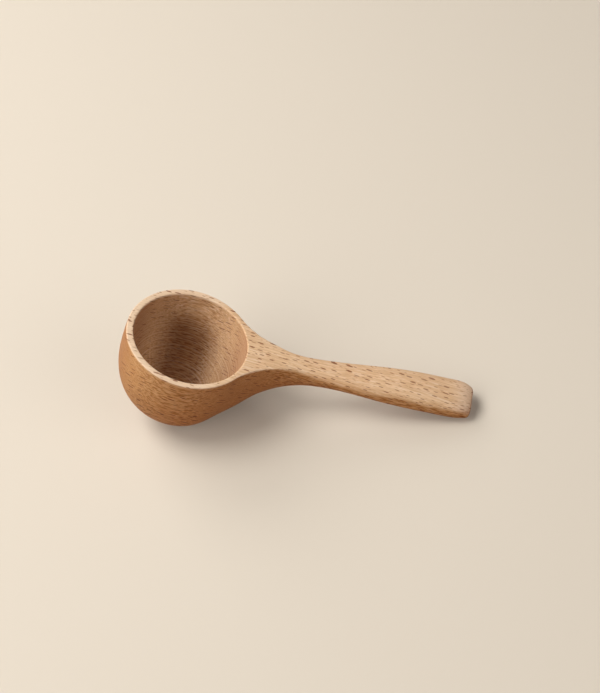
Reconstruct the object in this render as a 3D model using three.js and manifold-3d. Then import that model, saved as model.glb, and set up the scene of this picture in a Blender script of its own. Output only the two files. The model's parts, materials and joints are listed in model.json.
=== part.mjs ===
// Wooden coffee scoop: a round bowl, a flat-topped neck and a flared handle, all in one piece of beech.
// Millimetres, +Z up. The scoop lies as it rests on a table, on the bowl's underside and the handle's end,
// with the handle along +X and the origin under the middle of its box.

import * as THREE from 'three';
import { mergeVertices } from 'three/addons/utils/BufferGeometryUtils.js';
import Module from 'manifold-3d';

// Bowl
const mouthDiameter = 44.6;     // hollow at the rim
const rimDiameter = 49.5;       // outside at the rim
const bellyDiameter = 50.2;     // outside at its widest
const bellyDepth = 9.5;         // widest level below the rim
const bowlDepth = 38.4;         // rim to the underside
const bowlFullness = 2.4;       // superellipse exponent below the belly
const hollowDepth = 33;         // rim to the bottom of the hollow
const hollowFullness = 2.35;    // superellipse exponent of the hollow
const hollowShift = 0.3;        // hollow off the bowl's axis, towards the handle
const rimEase = 0.4;            // sanded outer edge of the rim
const mouthEase = 0.6;          // sanded inner edge of the rim

// Neck
const neckWidth = 9;            // at its narrowest
const neckFillet = 35;          // radius in plan from the bowl into the flank
const keelAngle = 39.5;         // degrees, ridge under the neck against the rim
const keelFillet = 57;          // radius from the ridge into the handle's underside
const neckEase = 0.3;           // sanded edge of the neck's flat top
const neckSeat = 0.15;          // start of the neck inside the bowl's skin
const sliceRun = 8;             // length over which the neck's underside keeps the bowl's own slice
const handleLead = 3;           // the handle's section is reached this far before the narrowest place

// Handle
const scoopLength = 137.7;      // front of the bowl to the handle's end, along the rim
const handleWidth = 17.6;       // at its widest
const handleThickness = 9.3;    // at its end
const handleFullness = 2.3;     // superellipse exponent of its section
const flareAngle = 7;           // degrees, flank against the centre line
const flankRadius = 260;        // radius in plan from the flank into the full width
const handleRise = 3.7;         // top of the handle above the rim
const levelTop = 14;            // level length of the top before the end
const undersideAngle = 1;       // degrees, underside against the rim
const crownRun = 40;            // length over which the neck's edge turns into a round handle
const endRound = 6.3;           // length of the rounded end
const endFaceWidth = 12.3;      // width of the flat end

// Facets
const bowlSegments = 72;        // round the bowl, a multiple of 4
const profileSteps = 18;        // belly to the underside, and the hollow
const barrelSteps = 4;          // rim to the belly
const easeSteps = 3;            // each sanded edge
const neckSteps = 24;
const handleSteps = 12;
const endSteps = 7;
const sectionSteps = 10;        // each quarter of a section
const tiltPrecision = 1e-9;     // radians, of the slope at rest

const beech = new THREE.MeshStandardMaterial({ color: 0xcea179, roughness: 0.62, metalness: 0 });

const { degToRad, lerp, smoothstep } = THREE.MathUtils;
const mouthRadius = mouthDiameter / 2;
const rimRadius = rimDiameter / 2;
const bellyRadius = bellyDiameter / 2;
const endX = scoopLength - bellyRadius;

const wasm = await Module();
wasm.setup();

// Quarter of a unit superellipse, from its side at (1, 0) to its end at (0, 1).
function quarter(steps, fullness) {
  const points = [];
  for (let i = 0; i <= steps; i += 1) {
    const angle = (i / steps) * Math.PI / 2;
    const side = i === steps ? 0 : Math.cos(angle) ** (2 / fullness);
    points.push({ side, end: Math.sin(angle) ** (2 / fullness) });
  }
  return points;
}

// Height of an arc's curve off its tangent, at an offset along the tangent.
function sagitta(radius, offset) {
  return radius - Math.sqrt(radius ** 2 - offset ** 2);
}

// Outside radius of the bowl at a level, with its skin drawn in by an inset.
function bowlRadius(z, inset) {
  const belly = bellyRadius - inset;
  if (z > -bellyDepth) {
    return belly - (bellyRadius - rimRadius) * ((z + bellyDepth) / bellyDepth) ** 2;
  }
  const drop = (-z - bellyDepth) / (bowlDepth - inset - bellyDepth);
  return belly * Math.max(0, 1 - drop ** bowlFullness) ** (1 / bowlFullness);
}

// Sanded edge of the rim: a quarter turn up to the rim's level, on the outside (1) or the inside (-1).
function sandedEdge(centreRadius, ease, side) {
  const points = [];
  for (let i = 1; i <= easeSteps; i += 1) {
    const angle = (i / easeSteps) * Math.PI / 2;
    const radius = centreRadius + side * ease * Math.cos(angle);
    points.push(new THREE.Vector2(radius, ease * (Math.sin(angle) - 1)));
  }
  return points;
}

// Solid of revolution about an upright axis at x, from a profile of (radius, height) points.
function revolve(profile, x) {
  const geometry = new THREE.LatheGeometry(profile, bowlSegments);
  return toSolid(geometry.rotateX(Math.PI / 2).translate(x, 0, 0));
}

// Closed geometry as a solid, with shared vertices merged and empty triangles left out.
function toSolid(geometry) {
  geometry.deleteAttribute('normal');
  geometry.deleteAttribute('uv');
  const merged = mergeVertices(geometry);
  const index = merged.index.array;
  const triVerts = [];
  for (let i = 0; i < index.length; i += 3) {
    const [a, b, c] = index.slice(i, i + 3);
    if (a !== b && b !== c && c !== a) triVerts.push(a, b, c);
  }
  const mesh = new wasm.Mesh({
    numProp: 3,
    vertProperties: new Float32Array(merged.attributes.position.array),
    triVerts: new Uint32Array(triVerts),
  });
  return new wasm.Manifold(mesh);
}

function toGeometry(solid) {
  const { vertProperties, triVerts } = solid.getMesh();
  const geometry = new THREE.BufferGeometry();
  geometry.setAttribute('position', new THREE.BufferAttribute(vertProperties, 3));
  geometry.setIndex(new THREE.BufferAttribute(triVerts, 1));
  geometry.computeVertexNormals();
  return geometry;
}

// Bowl: a superellipse up to the belly, a barrel curve to the rim and a sanded outer edge.
function makeBowl() {
  const profile = [];
  for (const { side, end } of quarter(profileSteps, bowlFullness).reverse()) {
    profile.push(new THREE.Vector2(bellyRadius * side, -bellyDepth - (bowlDepth - bellyDepth) * end));
  }
  for (let i = 1; i <= barrelSteps; i += 1) {
    const z = lerp(-bellyDepth, -rimEase, i / barrelSteps);
    profile.push(new THREE.Vector2(bowlRadius(z, 0), z));
  }
  profile.push(...sandedEdge(bowlRadius(-rimEase, 0) - rimEase, rimEase, 1));
  profile.push(new THREE.Vector2(0, 0));
  return revolve(profile, 0);
}

// Hollow: a superellipse up to the mouth, flared by the sanded inner edge and carried on above the rim.
function makeHollow() {
  const profile = [];
  for (const { side, end } of quarter(profileSteps, hollowFullness).reverse()) {
    profile.push(new THREE.Vector2(mouthRadius * side, -mouthEase - (hollowDepth - mouthEase) * end));
  }
  profile.push(...sandedEdge(mouthRadius + mouthEase, mouthEase, -1));
  const above = handleRise + mouthEase;
  profile.push(new THREE.Vector2(mouthRadius + mouthEase, above));
  profile.push(new THREE.Vector2(0, above));
  return revolve(profile, hollowShift);
}

// Plan of the neck and handle: the rim's circle, a fillet, a straight flank and an arc into the full width.
const seatRadius = rimRadius - neckSeat;
const flare = degToRad(flareAngle);
const neckX = Math.sqrt((seatRadius + neckFillet) ** 2 - (neckWidth / 2 + neckFillet) ** 2);
const filletX = seatRadius * neckX / (seatRadius + neckFillet);
const flankX = neckX + neckFillet * Math.sin(flare);
const flankHalf = neckWidth / 2 + neckFillet * (1 - Math.cos(flare));
const shoulderHalf = handleWidth / 2 - flankRadius * (1 - Math.cos(flare));
const shoulderX = flankX + (shoulderHalf - flankHalf) / Math.tan(flare);
const fullWidthX = shoulderX + flankRadius * Math.sin(flare);

function halfWidth(x) {
  if (x < filletX) return Math.sqrt(seatRadius ** 2 - x ** 2);
  if (x < flankX) return neckWidth / 2 + sagitta(neckFillet, neckX - x);
  if (x < shoulderX) return flankHalf + (x - flankX) * Math.tan(flare);
  if (x < fullWidthX) return handleWidth / 2 - sagitta(flankRadius, fullWidthX - x);
  return handleWidth / 2;
}

// Top of the neck and handle: level with the rim as far as the narrowest place, then a gentle rise.
function topHeight(x) {
  return handleRise * smoothstep(x, neckX, endX - levelTop);
}

// Underside: a ridge that leaves the bowl where the bowl has its slope, a fillet, then a straight run.
const keelTurn = degToRad(keelAngle);
const undersideTurn = degToRad(undersideAngle);
const keelSlope = Math.tan(keelTurn);
const undersideSlope = Math.tan(undersideTurn);
const seatBelly = bellyRadius - neckSeat;
const seatDrop = bowlDepth - neckSeat - bellyDepth;
const keelRatio = (keelSlope * (seatBelly / seatDrop) ** bowlFullness) ** (1 / (bowlFullness - 1));
const keelPower = (keelRatio / seatBelly) ** bowlFullness + seatDrop ** -bowlFullness;
const keelDrop = keelPower ** (-1 / bowlFullness);
const keelX = keelRatio * keelDrop;
const keelZ = -bellyDepth - keelDrop;
const undersideZ = topHeight(endX) - handleThickness;
const ridgeOffset = keelZ - keelSlope * keelX;
const runOffset = undersideZ - undersideSlope * endX;
const cornerX = (ridgeOffset - runOffset) / (undersideSlope - keelSlope);
const tangentLength = keelFillet * Math.tan((keelTurn - undersideTurn) / 2);
const keelArcX = cornerX - tangentLength * Math.cos(keelTurn);
const undersideX = cornerX + tangentLength * Math.cos(undersideTurn);
const crestX = keelArcX + keelFillet * Math.sin(keelTurn);
const crestZ = ridgeOffset + keelSlope * keelArcX + keelFillet * (1 - Math.cos(keelTurn));

function keelHeight(x) {
  if (x < keelArcX) return ridgeOffset + keelSlope * x;
  if (x < undersideX) return crestZ - sagitta(keelFillet, x - crestX);
  return runOffset + undersideSlope * x;
}

// Share of the section's size that is left in the rounded end: an arc that meets the flat end at an edge.
const endInset = (handleWidth - endFaceWidth) / 2;
const endRadius = (endRound ** 2 + endInset ** 2) / (2 * endInset);

function endShare(x) {
  const into = Math.max(0, x - endX + endRound);
  return 1 - sagitta(endRadius, into) / (handleWidth / 2);
}

// One section as a ring of points that runs from the ridge up the +Y side, over the top and back.
// Its lower half starts as the bowl's own slice and turns into a superellipse before the narrowest place.
// Its upper half is flat with a small edge on the neck and turns into a full round along the handle.
function section(x) {
  const half = halfWidth(x);
  const top = topHeight(x);
  const keel = keelHeight(x);
  const crown = smoothstep(x, keelArcX, keelArcX + crownRun);
  const edgeRise = lerp(neckEase, (top - keel) / 2, crown);
  const edgeReach = lerp(neckEase, half, crown);
  const widest = top - edgeRise;
  const handled = smoothstep(x, keelX + sliceRun, neckX - handleLead);
  const sliceHalf = Math.sqrt(seatRadius ** 2 - keelX ** 2);
  const right = [];
  for (const { side, end } of quarter(sectionSteps, handleFullness).reverse()) {
    const slice = Math.sqrt(Math.max(0, bowlRadius(keelZ * end, neckSeat) ** 2 - keelX ** 2)) / sliceHalf;
    right.push([half * lerp(slice, side, handled), lerp(widest, keel, end)]);
  }
  for (const { side } of quarter(sectionSteps, handleFullness).slice(1)) {
    const into = Math.max(0, (half * side - half + edgeReach) / edgeReach);
    const lift = Math.max(0, 1 - into ** handleFullness) ** (1 / handleFullness);
    right.push([half * side, widest + edgeRise * lift]);
  }
  const left = right.slice(1, -1).reverse().map(([y, z]) => [-y, z]);
  const middle = (top + keel) / 2;
  const share = endShare(x);
  return [...right, ...left].map(([y, z]) => new THREE.Vector3(x, y * share, lerp(middle, z, share)));
}

// Where the sections stand: even steps along the neck and the handle, closer ones round the end.
function sectionPlaces() {
  const places = [];
  for (let i = 0; i < neckSteps; i += 1) places.push(lerp(keelX, undersideX, i / neckSteps));
  for (let i = 0; i < handleSteps; i += 1) places.push(lerp(undersideX, endX - endRound, i / handleSteps));
  for (let i = 0; i <= endSteps; i += 1) {
    places.push(endX - endRound + endRound * Math.sin((i / endSteps) * Math.PI / 2));
  }
  return places;
}

// Neck and handle: a loft through the sections, closed by a flat face at each end.
function makeHandle(rings) {
  const count = rings[0].length;
  const points = rings.flat();
  const triangles = [];
  for (let i = 0; i < rings.length - 1; i += 1) {
    for (let j = 0; j < count; j += 1) {
      const next = (j + 1) % count;
      const [a, b, c, d] = [i * count + j, (i + 1) * count + j, (i + 1) * count + next, i * count + next];
      triangles.push(a, d, c, a, c, b);
    }
  }
  for (const [ring, first, turn] of [[rings[0], 0, -1], [rings.at(-1), points.length - count, 1]]) {
    const centre = points.length;
    points.push(ring[0].clone().lerp(ring[count / 2], 0.5));
    for (let j = 0; j < count; j += 1) {
      const edge = [first + j, first + (j + 1) % count];
      triangles.push(centre, ...(turn > 0 ? edge : edge.reverse()));
    }
  }
  const geometry = new THREE.BufferGeometry().setFromPoints(points);
  geometry.setIndex(triangles);
  return toSolid(geometry);
}

// Slope of the rim at rest, where the bowl's underside and the ridge at the handle's end are equally low.
function restTilt(ridge) {
  const power = bowlFullness / (bowlFullness - 1);
  const bowlLow = (tilt) => {
    const across = (bellyRadius * Math.sin(tilt)) ** power;
    const down = ((bowlDepth - bellyDepth) * Math.cos(tilt)) ** power;
    return -bellyDepth * Math.cos(tilt) - (across + down) ** (1 / power);
  };
  const handleLow = (tilt) => Math.min(...ridge.map(({ x, z }) => z * Math.cos(tilt) - x * Math.sin(tilt)));
  let level = 0;
  let steep = Math.PI / 4;
  while (steep - level > tiltPrecision) {
    const tilt = (level + steep) / 2;
    if (handleLow(tilt) > bowlLow(tilt)) level = tilt;
    else steep = tilt;
  }
  return level;
}

const rings = sectionPlaces().map(section);
const body = makeBowl().add(makeHandle(rings)).subtract(makeHollow());

const scoop = new THREE.Mesh(toGeometry(body), beech);
scoop.name = 'scoop';
scoop.rotation.y = restTilt(rings.map((ring) => ring[0]));

const part = new THREE.Group();
part.add(scoop);
const box = new THREE.Box3().setFromObject(part, true);
const middle = box.getCenter(new THREE.Vector3());
scoop.position.set(-middle.x, -middle.y, -box.min.z);

export default part;
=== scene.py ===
import bmesh
import bpy
import json
import math
from mathutils import Matrix, Vector


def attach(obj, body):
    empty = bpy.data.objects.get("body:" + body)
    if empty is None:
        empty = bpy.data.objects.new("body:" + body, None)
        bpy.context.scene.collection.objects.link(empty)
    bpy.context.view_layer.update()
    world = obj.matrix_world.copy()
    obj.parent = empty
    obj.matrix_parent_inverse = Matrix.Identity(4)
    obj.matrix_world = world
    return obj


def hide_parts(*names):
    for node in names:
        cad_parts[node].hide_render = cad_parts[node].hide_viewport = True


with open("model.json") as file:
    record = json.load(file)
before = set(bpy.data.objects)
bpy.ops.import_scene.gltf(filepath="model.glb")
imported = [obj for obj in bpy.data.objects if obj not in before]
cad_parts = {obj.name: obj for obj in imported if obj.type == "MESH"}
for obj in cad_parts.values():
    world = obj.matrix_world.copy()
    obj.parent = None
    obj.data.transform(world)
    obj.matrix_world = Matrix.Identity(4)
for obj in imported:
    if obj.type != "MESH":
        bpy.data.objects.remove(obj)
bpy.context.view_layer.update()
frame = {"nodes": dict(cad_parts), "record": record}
scene = bpy.context.scene
scene.view_settings.view_transform = "Standard"

# the rim plane, as the record's mount gives it: the bowl and the neck's flat top lie in it
rimFace = next(m for m in frame["record"]["mounts"] if m["name"] == "rim_face")
rimTilt = math.atan2(rimFace["axis"][0], rimFace["axis"][2])
toRest = Matrix.Rotation(rimTilt, 3, "Y")
toRim = toRest.transposed()

# camera where the photo was taken from, seen from the scoop as it rests here
viewSet = {
    "aim": (0.00255, 0.00051, 0.0338),
    "azimuth": 7.368,  # degrees from -Y towards +X
    "elevation": 47.72,
    "roll": -4.518,
    "distance": 0.7276,
    "lens": 98.7,
    "sensor": 36,
    "clipStart": 0.01,
}


def placeCamera(view):
    turn = (
        Matrix.Rotation(math.radians(view["azimuth"]), 3, "Z")
        @ Matrix.Rotation(math.radians(90 - view["elevation"]), 3, "X")
        @ Matrix.Rotation(math.radians(view["roll"]), 3, "Z")
    )
    place = Vector(view["aim"]) + turn @ Vector((0, 0, view["distance"]))
    bpy.ops.object.camera_add(location=place, rotation=turn.to_euler())
    camera = bpy.context.object
    camera.name = "viewpoint"
    camera.data.lens = view["lens"]
    camera.data.sensor_width = view["sensor"]
    camera.data.clip_start = view["clipStart"]
    scene.camera = camera


placeCamera(viewSet)
print("camera placed")

firstColour, secondColour, mixedColour = 6, 7, 2  # a Mix node's sockets for colours


class FinishTree:  # a material whose nodes are added one by one
    def __init__(self, name):
        self.material = bpy.data.materials.new(name)
        self.material.use_nodes = True
        self.tree = self.material.node_tree
        self.shader = self.tree.nodes["Principled BSDF"]

    def plug(self, source, socket):  # a plain value is set, a node's output is linked
        if isinstance(source, (int, float, tuple)):
            socket.default_value = source
        else:
            self.tree.links.new(source, socket)

    def feed(self, source, name):
        self.tree.links.new(source, self.shader.inputs[name])

    def add(self, kind, links=(), values=(), **settings):
        node = self.tree.nodes.new("ShaderNode" + kind)
        for key, value in settings.items():
            setattr(node, key, value)
        for socket, value in values:
            node.inputs[socket].default_value = value
        for socket, source in links:
            self.tree.links.new(source, node.inputs[socket])
        return node

    def math(self, operation, first, second=0.5, third=0.5):
        node = self.add("Math", operation=operation)
        for socket, source in zip(node.inputs, (first, second, third)):
            self.plug(source, socket)
        return node.outputs[0]

    def vector(self, operation, first, second=(0, 0, 0)):
        node = self.add("VectorMath", operation=operation)
        self.plug(first, node.inputs[0])
        self.plug(second, node.inputs[1])
        return node.outputs["Value" if operation in ("LENGTH", "DOT_PRODUCT") else "Vector"]

    def turnRows(self, vector, angle):
        node = self.add("VectorRotate", links=[("Vector", vector)], rotation_type="Y_AXIS",
                        values=[("Angle", angle)])
        return node.outputs["Vector"]

    def ramp(self, source, low, high, start=0, end=1):
        node = self.add("MapRange", links=[("Value", source)], interpolation_type="SMOOTHSTEP",
                        values=[("From Min", low), ("From Max", high), ("To Min", start), ("To Max", end)])
        return node.outputs["Result"]

    def stretch(self, vector, along, across, through):  # sizes of one unit of pattern
        node = self.add("Mapping", links=[("Vector", vector)],
                        values=[("Scale", (1 / along, 1 / across, 1 / through))])
        return node.outputs["Vector"]

    def noise(self, vector, detail, rough=0.5):
        node = self.add("TexNoise", links=[("Vector", vector)],
                        values=[("Scale", 1), ("Detail", detail), ("Roughness", rough)])
        return node.outputs["Fac"]

    def lines(self, along, scale, detail, rough):  # noise that changes in one direction only
        node = self.add("TexNoise", links=[("W", along)], noise_dimensions="1D",
                        values=[("Scale", scale), ("Detail", detail), ("Roughness", rough)])
        return node.outputs["Fac"]

    def mark(self, name):
        return self.add("Attribute", attribute_name=name).outputs["Fac"]

    def tint(self, amount, first, second, blend="MIX"):
        node = self.add("Mix", data_type="RGBA", blend_type=blend)
        self.plug(amount, node.inputs[0])
        self.plug(first, node.inputs[firstColour])
        self.plug(second, node.inputs[secondColour])
        return node.outputs[mixedColour]


# pale table top and soft daylight from a row of windows on the left
floorSet = {
    "size": 6,
    "colour": (0.61, 0.535, 0.44, 1),
    "glow": (0.27, 0.082, 0.003, 1),  # the warm light that it throws back on the scoop
    "roughness": 0.9,
    "specular": 0.2,
    "lift": 0.14,  # keeps its shadows light
    "fade": (0.3, 0.9),  # metres out, over which it turns to an even pale tone
    "farColour": (0, 0, 0, 1),  # only its own light shows there
    "farLift": 1.33,
}
lightSet = {
    "aim": (0, 0, 0.02),
    "window": {"from": (-0.48, -0.01, 0.87), "distance": 1.1, "size": 0.7, "power": 9.2},
    "farWindow": {"from": (-0.58, 0.58, 0.57), "distance": 1.1, "size": 0.7, "power": 5},
    "nearWindow": {"from": (-0.62, -0.54, 0.57), "distance": 1.1, "size": 0.7, "power": 3.9},
    "reflector": {"from": (0.75, -0.38, 0.54), "distance": 1.1, "size": 0.9, "power": 2.8},
    "sky": (1, 0.97, 0.94, 1),
    "skyStrength": 0.05,
    "backdrop": (0.811, 0.712, 0.585, 1),  # as the far table top looks
}


def seenDirectly(tree):  # 1 where the camera, a reflection or glass looks, 0 for light that spreads
    path = tree.nodes.new("ShaderNodeLightPath")
    total = path.outputs["Is Camera Ray"]
    for name in ("Is Glossy Ray", "Is Transmission Ray"):
        larger = tree.nodes.new("ShaderNodeMath")
        larger.operation = "MAXIMUM"
        tree.links.new(total, larger.inputs[0])
        tree.links.new(path.outputs[name], larger.inputs[1])
        total = larger.outputs[0]
    return total


def makeFloor(settings):
    bpy.ops.object.select_all(action="DESELECT")
    bpy.ops.mesh.primitive_plane_add(size=settings["size"])
    floor = bpy.context.object
    floor.name = "tableTop"
    paint = FinishTree("pale table")
    seen = seenDirectly(paint.tree)
    away = paint.vector("LENGTH", paint.add("TexCoord").outputs["Object"])
    far = paint.math("MULTIPLY", paint.ramp(away, *settings["fade"]), seen)
    colour = paint.tint(seen, settings["glow"], settings["colour"])
    colour = paint.tint(far, colour, settings["farColour"])
    lift = paint.math("MULTIPLY", seen, settings["lift"])
    lift = paint.math("MULTIPLY_ADD", far, settings["farLift"] - settings["lift"], lift)
    paint.feed(colour, "Base Color")
    paint.feed(lift, "Emission Strength")
    paint.shader.inputs["Emission Color"].default_value = settings["colour"]
    paint.shader.inputs["Roughness"].default_value = settings["roughness"]
    paint.shader.inputs["Specular IOR Level"].default_value = settings["specular"]
    floor.data.materials.append(paint.material)


def addSoftLight(name, settings, aim):
    towards = Vector(settings["from"]).normalized()
    place = Vector(aim) + towards * settings["distance"]
    turn = towards.to_track_quat("Z", "Y").to_euler()
    bpy.ops.object.light_add(type="AREA", location=place, rotation=turn)
    lamp = bpy.context.object
    lamp.name = name
    lamp.data.shape = "DISK"
    lamp.data.size = settings["size"]
    lamp.data.energy = settings["power"]
    lamp.visible_camera = False


def makeSky(settings):
    world = bpy.data.worlds.new("soft sky")
    world.use_nodes = True
    scene.world = world
    tree = world.node_tree
    sky = tree.nodes["Background"]
    sky.inputs["Color"].default_value = settings["sky"]
    sky.inputs["Strength"].default_value = settings["skyStrength"]
    backdrop = tree.nodes.new("ShaderNodeBackground")  # what the camera sees past the table
    backdrop.inputs["Color"].default_value = settings["backdrop"]
    pick = tree.nodes.new("ShaderNodeMixShader")
    tree.links.new(seenDirectly(tree), pick.inputs[0])
    tree.links.new(sky.outputs[0], pick.inputs[1])
    tree.links.new(backdrop.outputs[0], pick.inputs[2])
    tree.links.new(pick.outputs[0], tree.nodes["World Output"].inputs["Surface"])


makeFloor(floorSet)
for name in ("window", "farWindow", "nearWindow", "reflector"):
    addSoftLight(name, lightSet[name], lightSet["aim"])
makeSky(lightSet)
print("table and light ready")

# the scoop, in the rim's own frame: origin in the mouth's middle, X along the handle, Z out of the bowl
scoopSet = {
    "mountReach": 0.03,  # the rim mount lies this far from the bowl's axis, along the neck
    "sides": 32,  # faces round the bowl
    "rings": 8,  # rings from the belly to the bottom, and as many inside
    "lip": 0.001,  # depth of the row that holds the rim's edge
    "land": 0.0007,  # and the width of the rows that hold it on the flat
    "bellyDepth": 0.0095,
    "fullness": 2.4,
    "lastRing": 84,  # degrees down the bowl, where the cap starts
    "neckColumns": 3,  # faces each side of the middle that grow into the neck
    "neckRows": 6,
    "sections": (0.0275, 0.031, 0.035, 0.0395, 0.0445, 0.0505, 0.0575, 0.0655, 0.0745, 0.084,
                 0.093, 0.101, 0.106, 0.109, 0.111, 0.1121, 0.11258),
    "pull": 0.001,  # a section is first drawn out this far, then seated
    "widthLevels": (0.08, 0.2, 0.35, 0.5),  # shares of its depth where its width is measured
    "endChamfer": 0.0005,  # taken off all round the last section
    "cornerFade": (0.034, 0.05),  # where the neck's top corner starts and ends its fading
    "reach": 0.1,  # rays start this far out
    "rayStart": 3,  # or, for a section's points, this many times further out than its box
    "sameLevel": 0.000001,  # closer than this counts as level
    "sameSection": 0.00001,  # and as one section
    "subdivisions": 3,
}
solid = frame["nodes"]["scoop"]
rimCentre = Vector(rimFace["pos_m"]) - toRest @ Vector((scoopSet["mountReach"], 0, 0))


def inRim(place):  # a point at rest, in the rim's frame
    return toRim @ (place - rimCentre)


def hitSolid(start, towards):
    begin = rimCentre + toRest @ Vector(start)
    end = rimCentre + toRest @ Vector(towards)
    found, place = solid.ray_cast(begin, (end - begin).normalized())[:2]
    return inRim(place) if found else Vector(towards)


def ringLevels(top, depth, settings):
    levels = []
    for ring in range(1, settings["rings"] + 1):
        turn = math.radians(settings["lastRing"]) * ring / settings["rings"]
        levels.append(top - (depth - abs(top)) * math.sin(turn) ** (2 / settings["fullness"]))
    return levels


def pullRing(ring, wanted):  # ring and wanted: centre along X, radius, level
    bpy.ops.mesh.extrude_region_move(TRANSFORM_OT_translate={"value": (0, 0, wanted[2] - ring[2])})
    bpy.ops.transform.translate(value=(wanted[0] - ring[0], 0, 0))
    grow = wanted[1] / ring[1]
    bpy.ops.transform.resize(value=(grow, grow, 1), center_override=(wanted[0], 0, wanted[2]))
    return wanted


def pickParts(mesh, kind, wanted):  # kind: VERT, EDGE or FACE
    bpy.ops.mesh.select_mode(type=kind)
    bpy.ops.mesh.select_all(action="DESELECT")
    drawn = bmesh.from_edit_mesh(mesh)
    for part in {"VERT": drawn.verts, "EDGE": drawn.edges, "FACE": drawn.faces}[kind]:
        part.select_set(wanted(part))
    drawn.select_flush_mode()
    bmesh.update_edit_mesh(mesh)


def measureHollow(level, far):
    near = hitSolid((0, 0, level), (-far, 0, level)).x
    away = hitSolid((0, 0, level), (far, 0, level)).x
    return (near + away) / 2, (away - near) / 2, level


def drawBowl(settings):
    far = settings["reach"]
    outDepth = -hitSolid((0, 0, -far), (0, 0, 0)).z
    inDepth = -hitSolid((0, 0, far), (0, 0, -far)).z
    outLevels = [-settings["lip"], -settings["bellyDepth"]]
    outLevels += ringLevels(-settings["bellyDepth"], outDepth, settings)
    inLevels = [-settings["lip"]] + ringLevels(0, inDepth, settings)
    rim = -hitSolid((-far, 0, -settings["lip"]), (0, 0, -settings["lip"])).x
    bpy.ops.object.select_all(action="DESELECT")
    bpy.ops.mesh.primitive_circle_add(vertices=settings["sides"], radius=rim)
    scoop = bpy.context.object
    scoop.name = "beechScoop"
    bpy.ops.object.mode_set(mode="EDIT")
    # down the outside, ring by ring
    ring = (0, rim, 0)
    for level in outLevels:
        wall = hitSolid((-far, 0, level), (0, 0, level))
        ring = pullRing(ring, (0, -wall.x, level))
    bpy.ops.mesh.fill_grid(span=settings["sides"] // 4)
    # across the rim and down the inside
    pickParts(scoop.data, "VERT", lambda v: abs(v.co.z) < settings["sameLevel"])
    ring = pullRing((0, rim, 0), (0, rim - settings["land"], 0))
    hollow = [measureHollow(level, far) for level in inLevels]
    shift, mouth = hollow[0][:2]
    ring = pullRing(ring, (shift, mouth + settings["land"], 0))
    ring = pullRing(ring, (shift, mouth, 0))
    for wanted in hollow:
        ring = pullRing(ring, wanted)
    bpy.ops.mesh.fill_grid(span=settings["sides"] // 4)
    return scoop, [0] + outLevels


def measureNeck(x, settings):
    far = settings["reach"]
    top = hitSolid((x, 0, far), (x, 0, -far)).z
    keel = hitSolid((x, 0, -far), (x, 0, far)).z
    levels = [top + (keel - top) * share for share in settings["widthLevels"]]
    half = max(hitSolid((x, far, level), (x, 0, level)).y for level in levels)
    return top, keel, half


def seatSection(mesh, x, settings):
    chamfer = settings["endChamfer"] if x == settings["sections"][-1] else 0
    top, keel, half = measureNeck(x, settings)
    middle = Vector((x, 0, (top + keel) / 2))
    drawn = bmesh.from_edit_mesh(mesh)
    column = drawn.verts.layers.int["neckColumn"]
    row = drawn.verts.layers.int["neckRow"]
    for vert in drawn.verts:
        if vert.select:
            across = vert[column] / settings["neckColumns"]
            down = 2 * vert[row] / settings["neckRows"] - 1
            share = max(abs(across), abs(down))
            if share == 0:
                vert.co = middle
                continue
            ray = Vector((0, across * half, -down * (top - keel) / 2)) / share
            skin = hitSolid(middle + ray * settings["rayStart"], middle) - middle
            vert.co = middle + skin * share * (1 - chamfer / skin.length)
    bmesh.update_edit_mesh(mesh)


def onOuterWall(place, settings):
    level = min(place.z, -settings["lip"])
    wall = -hitSolid((-settings["reach"], 0, level), (0, 0, level)).x
    return math.hypot(place.x, place.y) > wall - settings["land"] / 2


def growNeck(scoop, levels, settings):
    mesh = scoop.data
    step = 2 * math.pi / settings["sides"]
    bottom = levels[settings["neckRows"]]
    reach = settings["neckColumns"] * step
    drawn = bmesh.from_edit_mesh(mesh)
    column = drawn.verts.layers.int.new("neckColumn")
    row = drawn.verts.layers.int.new("neckRow")
    for vert in drawn.verts:
        vert[column] = round(math.atan2(vert.co.y, vert.co.x) / step)
        nearest = min(range(len(levels)), key=lambda k: abs(levels[k] - vert.co.z))
        vert[row] = nearest if onOuterWall(vert.co, settings) else -1
    bmesh.update_edit_mesh(mesh)

    def underNeck(face):
        middle = face.calc_center_median()
        inReach = abs(math.atan2(middle.y, middle.x)) < reach and 0 > middle.z > bottom
        return inReach and onOuterWall(middle, settings)

    pickParts(mesh, "FACE", underNeck)
    for x in settings["sections"]:
        bpy.ops.mesh.extrude_region_move(TRANSFORM_OT_translate={"value": (settings["pull"], 0, 0)})
        seatSection(mesh, x, settings)


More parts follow.
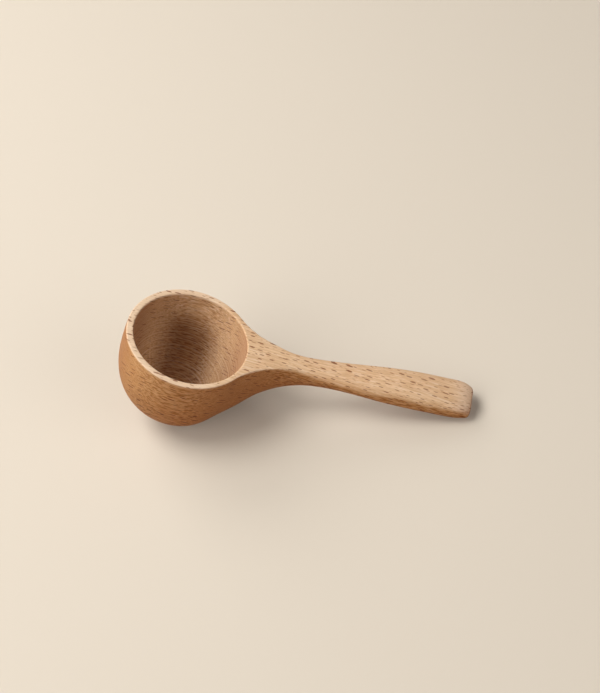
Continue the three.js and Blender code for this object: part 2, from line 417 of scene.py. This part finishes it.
def creaseEdges(scoop, settings):
    mesh = scoop.data
    columns = settings["neckColumns"]
    first, last = settings["sections"][0], settings["sections"][-2]
    hair = settings["sameSection"]
    drawn = bmesh.from_edit_mesh(mesh)
    column = drawn.verts.layers.int["neckColumn"]
    row = drawn.verts.layers.int["neckRow"]

    def across(vert):
        return abs(vert[column])

    def inPlane(vert):
        return abs(vert.co.z) < settings["sameLevel"]

    def fromAxis(vert):
        return math.hypot(vert.co.x, vert.co.y)

    def onRim(a, b):
        level = inPlane(a) and inPlane(b)
        return level and a[row] == 0 and b[row] == 0 and max(across(a), across(b)) > columns

    def onMouth(a, b):
        return inPlane(a) and inPlane(b) and max(fromAxis(a), fromAxis(b)) < mouthReach

    def onCorner(a, b):
        corner = a[row] == 0 and b[row] == 0 and across(a) == columns and across(b) == columns
        return corner and max(a.co.x, b.co.x) >= first and abs(a.co.x - b.co.x) > hair

    def onEnd(a, b):  # both edges of the chamfer
        edge = all(v[row] in (0, settings["neckRows"]) or across(v) == columns for v in (a, b))
        return edge and abs(a.co.x - b.co.x) < hair and min(a.co.x, b.co.x) > last - hair

    mouthReach = min(fromAxis(v) for v in drawn.verts if inPlane(v)) + settings["land"] / 2
    for wanted in (onRim, onMouth, onEnd):
        pickParts(mesh, "EDGE", lambda edge: wanted(*edge.verts))
        bpy.ops.transform.edge_crease(value=1)
    pickParts(mesh, "EDGE", lambda edge: onCorner(*edge.verts))
    fade = drawn.edges.layers.float["crease_edge"]
    start, end = settings["cornerFade"]
    for edge in drawn.edges:
        if edge.select:
            x = sum(v.co.x for v in edge.verts) / 2
            edge[fade] = min(max((end - x) / (end - start), 0), 1)
    bmesh.update_edit_mesh(mesh)


scoop, levels = drawBowl(scoopSet)
growNeck(scoop, levels, scoopSet)
creaseEdges(scoop, scoopSet)
bpy.ops.mesh.select_all(action="SELECT")
bpy.ops.mesh.normals_make_consistent(inside=False)
bpy.ops.object.mode_set(mode="OBJECT")
print("scoop cage", len(scoop.data.polygons), "faces")

scoop.rotation_euler = (0, rimTilt, 0)
scoop.location = rimCentre
bpy.ops.object.transform_apply(location=True, rotation=True, scale=True)


def applyModifier(piece, name, kind, **values):
    modifier = piece.modifiers.new(name, kind)
    for key, value in values.items():
        setattr(modifier, key, value)
    bpy.ops.object.modifier_apply(modifier=name)


applyModifier(scoop, "round off", "SUBSURF", levels=scoopSet["subdivisions"],
              render_levels=scoopSet["subdivisions"])


def easeBetween(value, low, high):
    share = min(max((value - low) / (high - low), 0), 1)
    return share * share * (3 - 2 * share)


def inRun(x, run):  # eases in over the run's first two places and out over its last two
    return max(easeBetween(x, *run[:2]) - easeBetween(x, *run[2:]), 0)


def weighVerts(piece, name, weights, least=0.001):
    group = piece.vertex_groups.new(name=name)
    for index, weight in enumerate(weights):
        if weight > least:
            group.add([index], weight, "REPLACE")


def ridgeAngles(piece):  # the sharpest ridge at each vertex, in degrees
    drawn = bmesh.new()
    drawn.from_mesh(piece.data)
    ridges = [0] * len(drawn.verts)
    for edge in drawn.edges:
        fold = math.degrees(edge.calc_face_angle_signed(0))
        for vert in edge.verts:
            ridges[vert.index] = max(ridges[vert.index], fold)
    drawn.free()
    return ridges


# all but the chamfered end goes onto the solid
wrapEnd = scoopSet["sections"][-2]
weighVerts(scoop, "wrapped", [inRim(vert.co).x < wrapEnd for vert in scoop.data.vertices])
applyModifier(scoop, "seat on solid", "SHRINKWRAP", target=solid, wrap_method="NEAREST_SURFACEPOINT",
              vertex_group="wrapped")

# hand work after that, each place or run in the rim's frame
sandSet = {
    "crispAngle": (8, 20),  # degrees: edges from here on stay crisp
    "sandPasses": 10,
    "blendMiddle": 0.02,  # the seam of bowl and neck, along X
    "blendWidth": (0.004, 0.013),  # half widths of its full and last sanding
    "rimKeep": (0.0015, 0.006),  # depths below the rim between which that sanding comes in
    "blendPasses": 300,
    "edgeRun": (0.035, 0.047, 0.06, 0.078),  # where the neck's edge is rounded over, along X
    "edgeDepth": (0.005, 0.01),
    "edgePasses": 340,
    "sideRun": (0.064, 0.088, 0.108, 0.112),  # where the handle's sides are planed flat, along X
    "sideStart": 0.004,  # no wood goes closer to the middle than this
    "sideKeep": 0.93,  # share of the half width that stays
    "sideTaken": 0.9,  # share of what stands past it that is taken off
    "sidePasses": 12,
    "gripRun": (0.084, 0.1, 0.1116, 0.1125),  # where the handle's near edge is worn round, along X
    "gripSide": (0.001, 0.006),
    "gripDepth": (0.0055, 0.0085),
    "gripPasses": 260,
    # last, a little more wood on the neck's flanks and the end's far side, less on its near corner
    "fuller": (
        {"name": "near flank", "place": (0.0235, -0.009, -0.0225), "reach": 0.011,
         "along": "NORMAL", "lift": 0.0006},
        {"name": "far flank", "place": (0.0235, 0.009, -0.0225), "reach": 0.011,
         "along": "NORMAL", "lift": 0.0006},
        {"name": "near corner", "place": (0.1122, -0.0064, -0.0022), "reach": 0.0032,
         "along": "Y", "lift": -0.0006},
        {"name": "far end", "place": (0.1126, 0.0078, 0), "reach": 0.0115,
         "along": "X", "lift": 0.0009},
    ),
}


def sandGroup(piece, name, group, weights, passes, stroke=0.5):
    weighVerts(piece, group, weights)
    applyModifier(piece, name, "SMOOTH", factor=stroke, iterations=passes, vertex_group=group)


def sandScoop(piece, settings):
    weights = [1 - easeBetween(ridge, *settings["crispAngle"]) for ridge in ridgeAngles(piece)]
    sandGroup(piece, "fine sanding", "sanded", weights, settings["sandPasses"])
    # the outside where the neck runs into the bowl, in a band across the seam
    weights = []
    for vert in piece.data.vertices:
        place = inRim(vert.co)
        facing = toRim @ vert.normal
        outside = place.x * facing.x + place.y * facing.y > 0
        band = 1 - easeBetween(abs(place.x - settings["blendMiddle"]), *settings["blendWidth"])
        weights.append(band * easeBetween(-place.z, *settings["rimKeep"]) * outside)
    sandGroup(piece, "blended neck", "blend", weights, settings["blendPasses"])
    # and the neck's top edge, rounded over on its way to the handle
    weights = []
    for vert in piece.data.vertices:
        place = inRim(vert.co)
        above = 1 - easeBetween(-place.z, *settings["edgeDepth"])
        weights.append(inRun(place.x, settings["edgeRun"]) * above)
    sandGroup(piece, "rounded edge", "neck edge", weights, settings["edgePasses"])
    # the handle's sides, planed flat
    weights = []
    for vert in piece.data.vertices:
        place = inRim(vert.co)
        share = inRun(place.x, settings["sideRun"])
        weights.append(share)
        if share > 0 and abs(place.y) > settings["sideStart"]:
            over = abs(place.y) - measureNeck(place.x, scoopSet)[2] * settings["sideKeep"]
            if over > 0:
                place.y -= math.copysign(settings["sideTaken"] * over * share, place.y)
                vert.co = rimCentre + toRest @ place
    sandGroup(piece, "eased sides", "sides", weights, settings["sidePasses"])
    # its near edge, worn round by the hand
    weights = []
    for vert in piece.data.vertices:
        place = inRim(vert.co)
        share = inRun(place.x, settings["gripRun"]) * easeBetween(-place.y, *settings["gripSide"])
        weights.append(share * (1 - easeBetween(-place.z, *settings["gripDepth"])))
    sandGroup(piece, "worn grip", "grip", weights, settings["gripPasses"])
    for spot in settings["fuller"]:
        middle = Vector(spot["place"])
        weights = []
        for vert in piece.data.vertices:
            weights.append(1 - easeBetween((inRim(vert.co) - middle).length, 0, spot["reach"]))
        weighVerts(piece, spot["name"], weights)
        applyModifier(piece, spot["name"], "DISPLACE", direction=spot["along"], strength=spot["lift"],
                      mid_level=0, vertex_group=spot["name"])


sandScoop(scoop, sandSet)
bpy.ops.object.shade_smooth()
print("scoop", len(scoop.data.polygons), "faces")

# pale edges (rubbed wear and a painted highlight), painted light on faces that look up, painted shade on the
# outer sides, painted shade with some stain deep in the bowl, and turning marks, in the rim's frame
wearAndShadeSet = {
    "ridge": (4, 18),  # degrees: edges from here on are pale, partly rubbed wear and partly a painted highlight
    "edgeRun": (0.014, 0.04),  # along X, where that ends
    "rimLevel": (-0.0012, -0.0004),  # the rim's face is pale too
    "rimRun": (0.006, 0.016),
    "rimShare": 0.8,
    "bottomFacing": 0.5,  # what faces up this much is inside the bowl
    "litEndRun": (0.1, 0.11),  # painted sheen: up-facing faces near the handle's end are paler
    "litEndFacing": (0.1, 0.6),
    "litTopFacing": (0.6, 0.95),  # painted light: by a share, all that faces up is paler too
    "litTopShare": 0.35,
    "outerSideFacing": (0.6, 0),  # outer faces that look sideways or down, for the grain's dashes and for painted shade
    "lean": (0.3, 0.08),  # the painted shade and stain deep in the bowl lean away from the handle, a little to the near side
    "markLevel": (0, 0.0015),  # turning marks start this far below the rim
    "markRun": (0.036, 0.024),  # outside the bowl they end before the neck
    "markFacing": (0.5, 0.1),
    "markShare": 0.4,
}


def markWearAndShade(piece, settings, hollowDeep, bowlReach):
    edges = [easeBetween(ridge, *settings["ridge"]) for ridge in ridgeAngles(piece)]
    depths, turns, lathes, litTops, outerSidesList = [], [], [], [], []
    for index, vert in enumerate(piece.data.vertices):
        place = inRim(vert.co)
        facing = toRim @ vert.normal
        fromAxis = math.hypot(place.x, place.y)
        onRim = easeBetween(place.z, *settings["rimLevel"]) * (1 - easeBetween(place.x, *settings["rimRun"]))
        # edges are made pale: rubbed wear and a painted highlight
        paleEdge = edges[index] * (1 - easeBetween(place.x, *settings["edgeRun"]))
        edges[index] = max(paleEdge, settings["rimShare"] * onRim)
        inside = place.x * facing.x + place.y * facing.y < 0 or facing.z > settings["bottomFacing"]
        inside = inside and fromAxis < bowlReach and place.z < 0
        # painted light: up-facing outer faces are paler, fully so near the handle's end
        litTop = easeBetween(place.x, *settings["litEndRun"]) * easeBetween(facing.z, *settings["litEndFacing"])
        top = settings["litTopShare"] * easeBetween(facing.z, *settings["litTopFacing"])
        litTops.append((not inside) * max(litTop, top))
        # outer faces that look sideways or down; they get painted shade
        outerSidesList.append((not inside) * easeBetween(facing.z, *settings["outerSideFacing"]))
        # painted shade with some stain: darker deeper in the bowl, away from the handle
        darkDepth = -place.z - settings["lean"][1] * place.y - settings["lean"][0] * max(place.x, 0)
        depths.append(inside * min(max(darkDepth / hollowDeep, 0), 1))
        turns.append(math.degrees(math.atan2(-place.z, fromAxis)))
        outside = easeBetween(place.x, *settings["markRun"]) * easeBetween(facing.z, *settings["markFacing"])
        onBowl = inside or settings["markShare"] * outside
        lathes.append(onBowl * easeBetween(-place.z, *settings["markLevel"]))
    for name, values in (("edgeWearAndHighlight", edges), ("inBowl", depths), ("turned", turns), ("lathe", lathes),
                         ("litTop", litTops), ("outerSides", outerSidesList)):
        mark = piece.data.attributes.new(name, "FLOAT", "POINT")
        mark.data.foreach_set("value", values)


def measureHollowReach(settings):  # the hollow's depth, and how far out its edge lies
    far = settings["reach"]
    deep = -hitSolid((0, 0, far), (0, 0, -far)).z
    return deep, measureHollow(-settings["lip"], far)[1] + settings["land"]


markWearAndShade(scoop, wearAndShadeSet, *measureHollowReach(scoopSet))
print("wear marked")

# beech, oiled: everything is measured in millimetres along the wood's own directions
beechSet = {
    "perMetre": 1000,
    "fibre": (0.9954, -0.0958, 0),  # in the rim's frame: along the handle, a little askew
    "layer": (0.078, 0.811, -0.58),  # square to the growth layers
    "light": (0.825, 0.553, 0.312, 1),
    "rosy": (0.745, 0.458, 0.24, 1),
    "deep": (0.5, 0.268, 0.115, 1),
    # pale wood tone of streaks, dashes and turning marks; on the edges also a painted highlight
    "paleToneAndHighlight": (0.87, 0.68, 0.5, 1),
    "endOn": (0.4, 0.185, 0.088, 1),
    "stainShadeTone": (0.28, 0.17, 0.085, 1),  # painted shade deep in the bowl with some coffee stain: what is left of the colour
    # painted light: the paler tone of faces that look up
    "litTopTone": (0.84, 0.63, 0.48, 1),
    "sideShadeTone": (0.88, 0.76, 0.57, 1),  # painted shade: what is left of the colour on the outer sides and undersides
    "flecks": (0.215, 0.06, 0.018, 1),
    "paleFlecks": (0.36, 0.135, 0.05, 1),
    # sizes of one unit of each pattern: along the fibres, along the layers' normal, across
    "wander": (45, 14, 14),
    "slow": (90, 3.4, 30),
    "drift": (38, 17, 17),
    "streaks": (10, 0.5, 0.5),
    "pores": (1.1, 0.13, 0.13),
    "dashes": (4.5, 0.55, 0.55),
    "wanderBy": 2.2,
    # growth layers
    "pithAway": 62,  # from the bowl's middle to the tree's middle, along the layers' normal
    "layerStep": 1.15,
    "slowBy": 1.6,
    "earlyWood": (0, 0.7),
    "lateWood": (1, 0.8),
    "yearShare": (0.7, 0.3),
    "bandStep": 0.45,
    "bandTone": (0.35, 0.65),
    "bandShare": 0.7,
    # ray flecks: their spacing, half sizes and the share that is left out
    "bold": {"cell": (4.3, 12, 1.75), "half": (1.6, 7.5, 0.235), "leaveOut": 0.06},
    "faint": {"cell": (2.9, 9, 1.2), "half": (1.1, 5.5, 0.15), "leaveOut": 0.15},
    "rowTurn": 8,  # degrees between the rows of flecks and the fibres
    "scatter": 0.7,
    "leaveOutEdge": 0.05,
    "fleckReach": (0.45, 0.6),
    "fleckEdge": (1, 0.75),
    "fleckDepth": (0.4, 0.6),
    "large": ((-14, -19.9, -19.1), (-4.1, -23.8, -19.8), (8.3, -23.1, -17.7)),  # a few under the bowl
    "largeHalf": (1.2, 2.5, 0.4),
    "largeEdge": (1, 0.5),
    "turning": 1.3,  # degrees of the bowl's wall between two turning marks
    "markLine": (0.45, 0.65),
    # where each tone comes in and is full, and its share at either place
    "rosyDrift": (0.3, 0.7),
    "darkStreaks": (0.47, 0.66, 0, 0.5),
    "paleStreaks": (0.5, 0.34, 0, 0.42),
    "slantGrain": (0.4, 0.95, 0, 0.5),
    "endGrain": (0.7, 1, 0, 0.7),
    "turnedWall": (0.5, 0.9),
    "dashFade": (0.3, 0.65, 1, 0.1),
    "darkDashes": (0.52, 0.62, 0, 1),
    "paleDashes": (0.46, 0.36, 0, 0.36),
    "darkPores": (0.62, 0.75, 0, 0.16),
    # painted shade with some stain, deep in the bowl
    "stainShadeDepth": (0.03, 0.56, 0, 0.88),
    "stainShadeFade": (0.2, 0.7, 1, 0.25),
    "markTone": (0.15, 0.8, 0.12, 0.26),
    # full shares of the others
    "layerShare": 0.32,
    # painted light on faces that look up
    "litTopTint": 0.45,
    # pale edges, partly a painted highlight
    "edgePaleShare": 0.6,
    "faintShare": 0.7,
    "boldShare": 0.92,
    # gloss and relief
    "roughness": 0.56,
    "streakGloss": 0.14,
    "fleckGloss": -0.08,
    "specular": 0.15,
    "poreRelief": -0.5,
    "fleckRelief": -0.25,
    "bumpHeight": 0.00005,
}


def makeBeech(settings):
    wood = FinishTree("oiled beech")
    fibre = (toRest @ Vector(settings["fibre"])).normalized()
    layer = toRest @ Vector(settings["layer"])
    layer = (layer - fibre * layer.dot(fibre)).normalized()
    axes = Matrix((fibre, layer, fibre.cross(layer)))
    scale = settings["perMetre"]
    coords = wood.add("TexCoord")
    place = wood.add("Mapping", links=[("Vector", coords.outputs["Object"])],
                     values=[("Rotation", axes.to_euler()), ("Scale", (scale, scale, scale)),
                             ("Location", -scale * (axes @ rimCentre))])
    grain = place.outputs["Vector"]

    # the fibres wander a little
    wander = wood.add("TexNoise", links=[("Vector", wood.stretch(grain, *settings["wander"]))],
                      values=[("Scale", 1), ("Detail", 1)]).outputs["Color"]
    offset = wood.vector("SUBTRACT", wander, (0.5, 0.5, 0.5))  # noise lies round a half
    offset = wood.vector("MULTIPLY", offset, (0, settings["wanderBy"], settings["wanderBy"]))
    bent = wood.vector("ADD", grain, offset)
    parts = wood.add("SeparateXYZ", links=[("Vector", bent)])

    # growth layers round the tree's middle, each with a paler early line
    away = wood.math("ADD", parts.outputs["Y"], settings["pithAway"])
    across = parts.outputs["Z"]
    radius = wood.math("ADD", wood.math("MULTIPLY", away, away), wood.math("MULTIPLY", across, across))
    radius = wood.math("SQRT", radius)
    slow = wood.noise(wood.stretch(bent, *settings["slow"]), detail=1)
    rings = wood.math("ADD", wood.math("DIVIDE", radius, settings["layerStep"]),
                      wood.math("MULTIPLY", slow, settings["slowBy"]))
    phase = wood.math("FRACT", rings)
    line = wood.math("MULTIPLY", wood.ramp(phase, *settings["earlyWood"]),
                     wood.ramp(phase, *settings["lateWood"]))
    year = wood.add("TexWhiteNoise", links=[("W", wood.math("FLOOR", rings))], noise_dimensions="1D")
    year = wood.math("MULTIPLY_ADD", year.outputs["Value"], *settings["yearShare"])
    bands = wood.lines(rings, settings["bandStep"], detail=3, rough=0.6)
    layers = wood.math("MULTIPLY_ADD", wood.ramp(bands, *settings["bandTone"]), settings["bandShare"],
                       wood.math("MULTIPLY", line, year))

    # broad drift of tone, fine fibre streaks
    drift = wood.noise(wood.stretch(bent, *settings["drift"]), detail=2)
    streaks = wood.noise(wood.stretch(bent, *settings["streaks"]), detail=3, rough=0.6)
    pores = wood.noise(wood.stretch(bent, *settings["pores"]), detail=1)
    dashes = wood.noise(wood.stretch(bent, *settings["dashes"]), detail=1)
    rowTurn = math.radians(settings["rowTurn"])

    # ray flecks: short dark dashes along the fibres, deep along the layers' normal
    def flecks(size):
        spaced = wood.stretch(wood.turnRows(bent, rowTurn), *size["cell"])
        cells = wood.add("TexVoronoi", links=[("Vector", spaced)],
                         values=[("Scale", 1), ("Randomness", settings["scatter"])])
        away = wood.vector("SUBTRACT", spaced, cells.outputs["Position"])
        away = wood.turnRows(wood.vector("MULTIPLY", away, size["cell"]), -rowTurn)
        away = wood.vector("LENGTH", wood.vector("DIVIDE", away, size["half"]))
        chance = wood.add("SeparateColor", links=[("Color", cells.outputs["Color"])])
        leaveOut = size["leaveOut"]
        kept = wood.ramp(chance.outputs["Red"], leaveOut, leaveOut + settings["leaveOutEdge"])
        reach = wood.math("MULTIPLY_ADD", chance.outputs["Green"], *settings["fleckReach"])
        shape = wood.ramp(wood.math("DIVIDE", away, reach), *settings["fleckEdge"])
        depth = wood.math("MULTIPLY_ADD", chance.outputs["Blue"], *settings["fleckDepth"])
        return wood.math("MULTIPLY", wood.math("MULTIPLY", shape, kept), depth)

    bold = flecks(settings["bold"])
    faint = flecks(settings["faint"])
    for spot in settings["large"]:
        away = wood.vector("SUBTRACT", grain, tuple(axes @ (toRest @ Vector(spot))))
        away = wood.vector("LENGTH", wood.vector("DIVIDE", away, settings["largeHalf"]))
        bold = wood.math("MAXIMUM", bold, wood.ramp(away, *settings["largeEdge"]))

    # marks of the turning tool round the bowl, clear inside it and faint outside
    lathe = wood.mark("lathe")
    turned = wood.math("DIVIDE", wood.mark("turned"), settings["turning"])
    marks = wood.ramp(wood.lines(turned, 1, detail=2, rough=0.55), *settings["markLine"])
    marks = wood.math("MULTIPLY", marks, lathe)

    # end grain is darker and rosier; faces that look up are paler, a painted light, most at the handle's end
    facing = wood.math("ABSOLUTE", wood.vector("DOT_PRODUCT", coords.outputs["Normal"], tuple(fibre)))
    colour = wood.tint(wood.ramp(drift, *settings["rosyDrift"]), settings["light"], settings["rosy"])
    colour = wood.tint(wood.math("MULTIPLY", layers, settings["layerShare"]), colour, settings["deep"])
    colour = wood.tint(wood.ramp(streaks, *settings["darkStreaks"]), colour, settings["deep"])
    colour = wood.tint(wood.ramp(streaks, *settings["paleStreaks"]), colour, settings["paleToneAndHighlight"])
    colour = wood.tint(wood.ramp(facing, *settings["slantGrain"]), colour, settings["deep"])
    colour = wood.tint(wood.ramp(facing, *settings["endGrain"]), colour, settings["endOn"])
    # painted light on faces that look up
    litTop = wood.math("MULTIPLY", wood.mark("litTop"), settings["litTopTint"])
    colour = wood.tint(litTop, colour, settings["litTopTone"])

    # the curved sides cut the fibres at a slant, so they show as short dashes there
    outerSides = wood.mark("outerSides")
    sides = wood.math("MAXIMUM", outerSides, wood.ramp(lathe, *settings["turnedWall"]))
    sides = wood.math("MULTIPLY", sides, wood.ramp(facing, *settings["dashFade"]))
    dark = wood.math("MULTIPLY", wood.ramp(dashes, *settings["darkDashes"]), sides)
    pale = wood.math("MULTIPLY", wood.ramp(dashes, *settings["paleDashes"]), sides)
    colour = wood.tint(dark, colour, settings["deep"])
    colour = wood.tint(pale, colour, settings["paleToneAndHighlight"])

    # pale edges (rubbed wear and a painted highlight), pores and flecks, then painted shade on the outer
    # sides
    # painted highlight, with rubbed wear, along the edges
    paleToneAndHighlight = wood.math("MULTIPLY", wood.mark("edgeWearAndHighlight"), settings["edgePaleShare"])
    colour = wood.tint(paleToneAndHighlight, colour, settings["paleToneAndHighlight"])
    colour = wood.tint(wood.ramp(pores, *settings["darkPores"]), colour, settings["flecks"])
    colour = wood.tint(wood.math("MULTIPLY", faint, settings["faintShare"]), colour, settings["paleFlecks"])
    colour = wood.tint(wood.math("MULTIPLY", bold, settings["boldShare"]), colour, settings["flecks"])
    # painted shade: the outer sides and undersides darker and warmer
    colour = wood.tint(outerSides, colour, settings["sideShadeTone"], "MULTIPLY")

    # painted shade and some coffee stain darken the long grain deep in the bowl
    stainedAndShaded = wood.math("MULTIPLY", wood.ramp(wood.mark("inBowl"), *settings["stainShadeDepth"]),
                        wood.ramp(facing, *settings["stainShadeFade"]))
    colour = wood.tint(stainedAndShaded, colour, settings["stainShadeTone"], "MULTIPLY")
    scratch = wood.math("MULTIPLY", marks, wood.ramp(facing, *settings["markTone"]))
    colour = wood.tint(scratch, colour, settings["paleToneAndHighlight"])
    wood.feed(colour, "Base Color")

    streakGloss = settings["streakGloss"]
    gloss = wood.math("MULTIPLY_ADD", streaks, streakGloss, settings["roughness"] - streakGloss / 2)
    gloss = wood.math("MULTIPLY_ADD", bold, settings["fleckGloss"], gloss)
    wood.feed(gloss, "Roughness")
    wood.shader.inputs["Specular IOR Level"].default_value = settings["specular"]
    relief = wood.math("MULTIPLY_ADD", pores, settings["poreRelief"], streaks)
    relief = wood.math("MULTIPLY_ADD", bold, settings["fleckRelief"], relief)
    bump = wood.add("Bump", links=[("Height", relief)],
                    values=[("Strength", 1), ("Distance", settings["bumpHeight"])])
    wood.feed(bump.outputs["Normal"], "Normal")
    return wood.material


scoop.data.materials.append(makeBeech(beechSet))
print("beech finish on")
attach(scoop, "root")
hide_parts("scoop")
